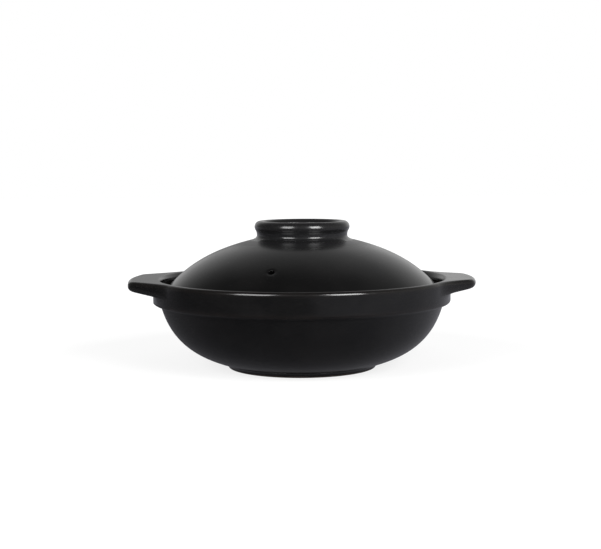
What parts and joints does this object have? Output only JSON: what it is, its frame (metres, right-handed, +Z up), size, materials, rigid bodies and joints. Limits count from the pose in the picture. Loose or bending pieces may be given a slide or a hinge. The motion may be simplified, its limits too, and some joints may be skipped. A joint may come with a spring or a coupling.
{
  "type": "lidded clay pot",
  "caption": "Low round-bottomed clay cooking pot with an upright rim collar, flat ear handles and a lift-off domed lid with a hollow ring knob and a steam hole.",
  "frame": {"origin": "centre of the foot ring's underside, where the pot stands", "axes": "+Z up along the pot's axis, +X through the right ear, -Y towards the front, where the steam hole is"},
  "size_m": [0.2568, 0.22, 0.1084],
  "materials": {
    "black_glaze": "satin black glaze",
    "bare_clay": "dark fired clay, glazed on its outer side and bare underneath"
  },
  "bodies": {
    "pot": {"bowl": "black_glaze", "rim_collar": "black_glaze", "foot_ring": "bare_clay", "left_ear": "black_glaze", "right_ear": "black_glaze"},
    "lid": {"lid_dome": "black_glaze", "lid_knob": "black_glaze"}
  },
  "joints": [
    {"name": "lid_lift", "type": "slide", "parent": "pot", "child": "lid", "axis": [0, 0, 1], "range_m": [0, 0.12]}
  ]
}
